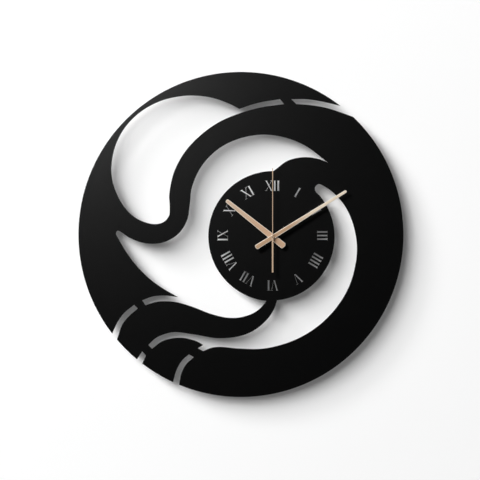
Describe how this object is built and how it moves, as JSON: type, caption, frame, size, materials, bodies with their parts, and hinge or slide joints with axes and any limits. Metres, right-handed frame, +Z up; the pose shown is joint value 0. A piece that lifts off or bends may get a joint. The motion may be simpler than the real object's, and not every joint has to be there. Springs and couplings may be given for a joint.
{
  "type": "wall clock",
  "caption": "Round cut-out metal wall clock drawn as a curled cat, with an off-centre Roman dial, three straight hands and a battery quartz movement.",
  "frame": {"origin": "on the wall plane, at the back face of the hanger bracket, just above its keyhole slot", "axes": "+X to the reader's right, +Z up, -Y out of the face towards the reader, +Y into the wall"},
  "size_m": [0.4, 0.0334, 0.4],
  "materials": {
    "black_coat": "satin black powder coat",
    "rose_gold": "brushed, rose gold anodised",
    "zinc_steel": "zinc plated",
    "spring_steel": "nickel plated",
    "brass": "turned",
    "rubber": "matt",
    "black_plastic": "spark-textured moulding",
    "natural_plastic": "natural acetal",
    "magnet": "sintered",
    "lamination": "stamped soft iron",
    "copper": "enamelled wire",
    "green_board": "solder mask",
    "cell_sleeve": "plain printed sleeve"
  },
  "bodies": {
    "frame": {"face_plate": "black_coat", "hanger_bracket": "zinc_steel", "standoff_1": "black_plastic", "standoff_pad_1": "rubber", "standoff_2": "black_plastic", "standoff_pad_2": "rubber", "standoff_3": "black_plastic", "standoff_pad_3": "rubber", "case_front": "black_plastic", "rear_cover": "black_plastic", "train_plate": "natural_plastic", "threaded_bush": "brass", "rubber_washer": "rubber", "flat_washer": "black_coat", "hex_nut": "black_coat", "stator": "lamination", "coil_core": "lamination", "coil_bobbin": "natural_plastic", "coil_winding": "copper", "circuit_board": "green_board", "driver_chip": "black_plastic", "crystal_can": "spring_steel", "aa_cell": "cell_sleeve", "positive_contact": "spring_steel", "negative_contact": "spring_steel"},
    "second": {"second_wheel": "natural_plastic", "second_arbor": "spring_steel", "second_hand": "rose_gold", "second_hand_boss": "brass"},
    "rotor": {"rotor_magnet": "magnet", "rotor_pinion": "natural_plastic"},
    "intermediate": {"intermediate_wheel": "natural_plastic"},
    "third": {"third_wheel": "natural_plastic"},
    "centre": {"centre_wheel": "natural_plastic"},
    "minute": {"cannon_pinion": "brass", "minute_hand": "rose_gold"},
    "motion": {"motion_wheel": "natural_plastic"},
    "hour": {"hour_wheel": "natural_plastic", "hour_hand": "rose_gold"},
    "setting": {"setting_gear": "natural_plastic", "setting_knob": "black_plastic"}
  },
  "joints": [
    {"name": "second_hand_turn", "type": "hinge", "parent": "frame", "child": "second", "pos_m": [0.0238, 0, -0.1933], "axis": [0, 1, 0], "continuous": true},
    {"name": "rotor_turn", "type": "hinge", "parent": "frame", "child": "rotor", "pos_m": [0.02626, 0, -0.17874], "axis": [0, 1, 0], "continuous": true},
    {"name": "intermediate_turn", "type": "hinge", "parent": "frame", "child": "intermediate", "pos_m": [0.02856, 0, -0.18506], "axis": [0, 1, 0], "continuous": true},
    {"name": "third_wheel_turn", "type": "hinge", "parent": "frame", "child": "third", "pos_m": [0.0147, 0, -0.1921], "axis": [0, 1, 0], "continuous": true},
    {"name": "centre_wheel_turn", "type": "hinge", "parent": "frame", "child": "centre", "pos_m": [0.0238, 0, -0.1933], "axis": [0, 1, 0], "continuous": true},
    {"name": "minute_hand_turn", "type": "hinge", "parent": "frame", "child": "minute", "pos_m": [0.0238, 0, -0.1933], "axis": [0, 1, 0], "continuous": true},
    {"name": "motion_wheel_turn", "type": "hinge", "parent": "frame", "child": "motion", "pos_m": [0.03105, 0, -0.18992], "axis": [0, 1, 0], "continuous": true},
    {"name": "hour_hand_turn", "type": "hinge", "parent": "frame", "child": "hour", "pos_m": [0.0238, 0, -0.1933], "axis": [0, 1, 0], "continuous": true},
    {"name": "setting_knob_turn", "type": "hinge", "parent": "frame", "child": "setting", "pos_m": [0.0409, 0, -0.18818], "axis": [0, 1, 0], "continuous": true}
  ],
  "couplings": [
    {"joint": "intermediate_turn", "follows": "second_hand_turn", "ratio": -6},
    {"joint": "rotor_turn", "follows": "second_hand_turn", "ratio": 30},
    {"joint": "third_wheel_turn", "follows": "second_hand_turn", "ratio": -0.13333},
    {"joint": "centre_wheel_turn", "follows": "second_hand_turn", "ratio": 0.016667},
    {"joint": "motion_wheel_turn", "follows": "minute_hand_turn", "ratio": -0.33333},
    {"joint": "hour_hand_turn", "follows": "minute_hand_turn", "ratio": 0.083333},
    {"joint": "setting_knob_turn", "follows": "minute_hand_turn", "ratio": 0.5}
  ]
}
